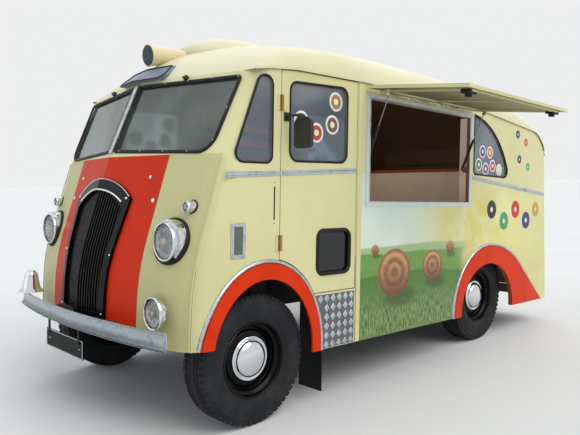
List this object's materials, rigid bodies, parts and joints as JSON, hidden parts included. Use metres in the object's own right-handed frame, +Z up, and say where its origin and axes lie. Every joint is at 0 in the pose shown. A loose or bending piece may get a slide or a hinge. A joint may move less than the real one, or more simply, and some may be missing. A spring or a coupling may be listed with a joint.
{
  "type": "ice cream van",
  "caption": "Forward-control ice cream van with a V-shaped nose and windscreen, rounded roof, side serving hatch on gas struts, cab and rear doors, steered front wheels.",
  "frame": {"origin": "middle of the whole outline, on the ground under the tyres", "axes": "+X to the front of the van, +Y to its left, +Z up"},
  "size_m": [4.4348, 2.8384, 2.3876],
  "materials": {
    "cream_paint": "gloss",
    "orange_paint": "gloss",
    "white_paint": "gloss",
    "dark_paint": "satin",
    "gloss_black": "gloss",
    "cast": "rough",
    "chrome": "polished",
    "bright": "brushed",
    "glass": "clear",
    "lens": "clear",
    "amber_lens": "gloss",
    "red_lens": "gloss",
    "tyre": "matt",
    "rubber": "matt",
    "black_trim": "satin",
    "plate": "gloss",
    "sign": "gloss",
    "horn": "gloss",
    "wood": "varnished",
    "trim_leather": "grained",
    "steel": "polished",
    "floor_paint": "matt"
  },
  "bodies": {
    "body": {"arch_bands": "orange_paint", "bell": "chrome", "chassis_frame": "dark_paint", "chequer_plates": "bright", "counters": "wood", "engine": "cast", "engine_cover": "dark_paint", "fixed_glass": "glass", "floor": "floor_paint", "front_axle": "cast", "front_bumper": "bright", "grille": "gloss_black", "grille_surround": "gloss_black", "hatch_frame": "white_paint", "lamp_bodies": "chrome", "lamp_lenses": "lens", "leaf_springs": "dark_paint", "left_cab_side": "cream_paint", "left_side": "cream_paint", "loudspeaker": "horn", "mud_flaps": "rubber", "nose_panel": "cream_paint", "number_plates": "plate", "rear_axle": "cast", "rear_lamps": "red_lens", "rear_panel": "cream_paint", "right_cab_side": "cream_paint", "right_side": "cream_paint", "roof": "cream_paint", "roof_fairing": "cream_paint", "seats": "trim_leather", "sign_board": "sign", "steering_wheel": "black_trim", "windscreen_surround": "cream_paint"},
    "hatch": {"hatch": "cream_paint", "hatch_catches": "black_trim"},
    "strut_tubes": {"strut_tubes": "black_trim"},
    "strut_rods": {"strut_rods": "steel"},
    "left_door": {"left_door": "cream_paint", "left_door_glass": "glass", "left_mirror": "black_trim"},
    "right_door": {"right_door": "cream_paint", "right_door_glass": "glass", "right_mirror": "black_trim"},
    "left_rear_door": {"left_rear_door": "cream_paint"},
    "right_rear_door": {"right_rear_door": "cream_paint"},
    "left_knuckle": {"left_knuckle": "cast"},
    "right_knuckle": {"right_knuckle": "cast"},
    "front_left_wheel": {"front_left_wheel": "gloss_black", "front_left_tyre": "tyre"},
    "front_right_wheel": {"front_right_wheel": "gloss_black", "front_right_tyre": "tyre"},
    "rear_left_wheel": {"rear_left_wheel": "gloss_black", "rear_left_tyre": "tyre"},
    "rear_right_wheel": {"rear_right_wheel": "gloss_black", "rear_right_tyre": "tyre"}
  },
  "joints": [
    {"name": "left_steer", "type": "hinge", "parent": "body", "child": "left_knuckle", "pos_m": [1.50359, 0.44582, 0.378], "axis": [-0.0414, 0, 0.9991], "range_deg": [-30, 30]},
    {"name": "right_steer", "type": "hinge", "parent": "body", "child": "right_knuckle", "pos_m": [1.50359, -1.02418, 0.378], "axis": [-0.0414, 0, 0.9991], "range_deg": [-30, 30]},
    {"name": "front_left_spin", "type": "hinge", "parent": "left_knuckle", "child": "front_left_wheel", "pos_m": [1.50359, 0.53082, 0.378], "axis": [0, 1, 0], "continuous": true},
    {"name": "front_right_spin", "type": "hinge", "parent": "right_knuckle", "child": "front_right_wheel", "pos_m": [1.50359, -1.10918, 0.378], "axis": [0, 1, 0], "continuous": true},
    {"name": "rear_left_spin", "type": "hinge", "parent": "body", "child": "rear_left_wheel", "pos_m": [-1.04641, 0.49682, 0.378], "axis": [0, 1, 0], "continuous": true},
    {"name": "rear_right_spin", "type": "hinge", "parent": "body", "child": "rear_right_wheel", "pos_m": [-1.04641, -1.07518, 0.378], "axis": [0, 1, 0], "continuous": true},
    {"name": "left_door_hinge", "type": "hinge", "parent": "body", "child": "left_door", "pos_m": [1.33416, 0.67882, 1.4369], "axis": [0.0414, 0, -0.9991], "range_deg": [0, 75]},
    {"name": "right_door_hinge", "type": "hinge", "parent": "body", "child": "right_door", "pos_m": [1.33416, -1.25718, 1.4369], "axis": [-0.0414, 0, 0.9991], "range_deg": [0, 75]},
    {"name": "left_rear_door_hinge", "type": "hinge", "parent": "body", "child": "left_rear_door", "pos_m": [-2.16504, 0.62332, 0.94678], "axis": [-0.042, 0, -0.9991], "range_deg": [0, 95]},
    {"name": "right_rear_door_hinge", "type": "hinge", "parent": "body", "child": "right_rear_door", "pos_m": [-2.16504, -1.20168, 0.94678], "axis": [0.042, 0, 0.9991], "range_deg": [0, 95]},
    {"name": "hatch_hinge", "type": "hinge", "parent": "body", "child": "hatch", "pos_m": [-0.11781, 0.67882, 1.9503], "axis": [0.9991, 0, 0.0414], "range_deg": [-84, 0]},
    {"name": "strut_swing", "type": "hinge", "parent": "body", "child": "strut_tubes", "pos_m": [-0.09854, 0.62482, 1.48469], "axis": [0.9991, 0, 0.0414], "range_deg": [-1, 20]},
    {"name": "strut_slide", "type": "slide", "parent": "strut_tubes", "child": "strut_rods", "axis": [-0.0383, 0.3799, 0.9242], "range_m": [-0.13, 0.002]}
  ],
  "couplings": [
    {"joint": "right_steer", "follows": "left_steer", "ratio": 1},
    {"joint": "strut_swing", "follows": "hatch_hinge", "ratio": -0.20183},
    {"joint": "strut_slide", "follows": "hatch_hinge", "m_per_rad": 0.084842}
  ]
}
